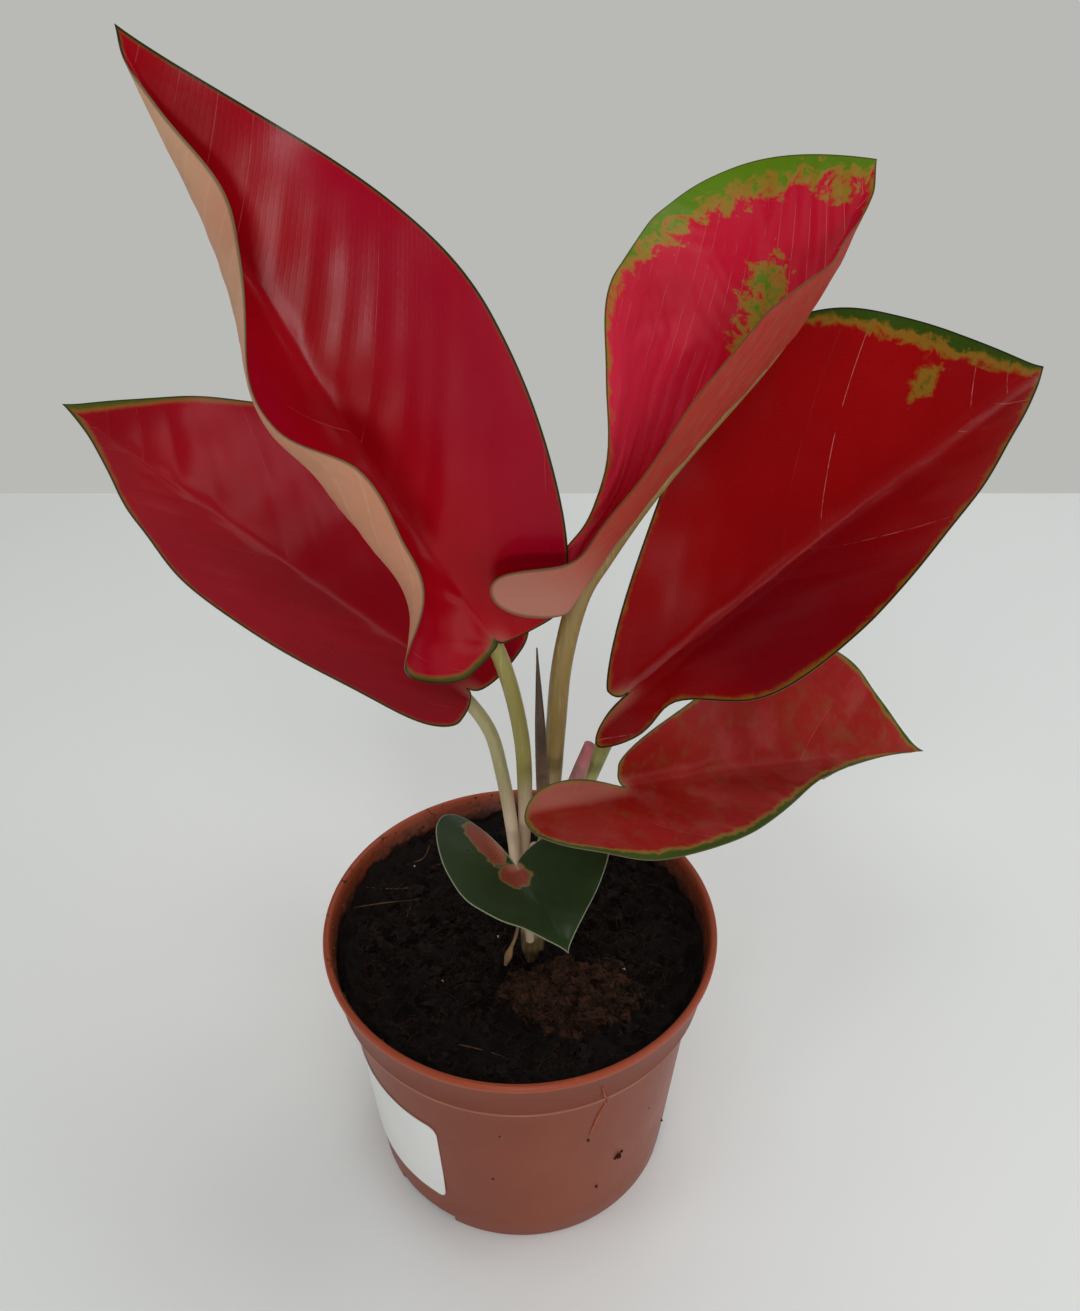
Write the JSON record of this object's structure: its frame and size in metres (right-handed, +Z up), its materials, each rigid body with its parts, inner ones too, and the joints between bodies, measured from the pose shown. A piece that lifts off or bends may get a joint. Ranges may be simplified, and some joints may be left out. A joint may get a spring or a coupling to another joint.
{
  "type": "potted red aglaonema",
  "caption": "Potted red chinese evergreen: heart-shaped red leaves with green margins on upright petioles from a short stem, in a round tapered pot filled with soil.",
  "frame": {"origin": "centre of the pot's underside", "axes": "+Z up along the pot's axis; -Y towards the viewer of the picture, so the small green leaf points to the front; +X to the right"},
  "size_m": [0.2819, 0.143, 0.3342],
  "materials": {
    "pot_terracotta": "satin",
    "soil_dark": "matte",
    "label_white": "matte",
    "stem_cream": "satin",
    "petiole_green": "satin",
    "new_leaf_olive": "satin",
    "sheath_pink": "satin",
    "root_tan": "matte",
    "blade_tall": "gloss",
    "blade_left": "gloss",
    "blade_upper": "gloss",
    "blade_right": "gloss",
    "blade_low": "gloss",
    "blade_small": "gloss"
  },
  "bodies": {
    "root": {"pot": "pot_terracotta", "soil": "soil_dark", "label": "label_white", "stem": "stem_cream", "new_leaf_roll": "new_leaf_olive", "stem_sheath": "sheath_pink", "root_thread": "root_tan", "leaf_tall_blade": "blade_tall", "leaf_tall_petiole": "petiole_green", "leaf_left_blade": "blade_left", "leaf_left_petiole": "petiole_green", "leaf_upper_blade": "blade_upper", "leaf_upper_petiole": "petiole_green", "leaf_right_blade": "blade_right", "leaf_right_petiole": "petiole_green", "leaf_low_blade": "blade_low", "leaf_low_petiole": "petiole_green", "leaf_small_blade": "blade_small", "leaf_small_petiole": "petiole_green"}
  },
  "joints": []
}
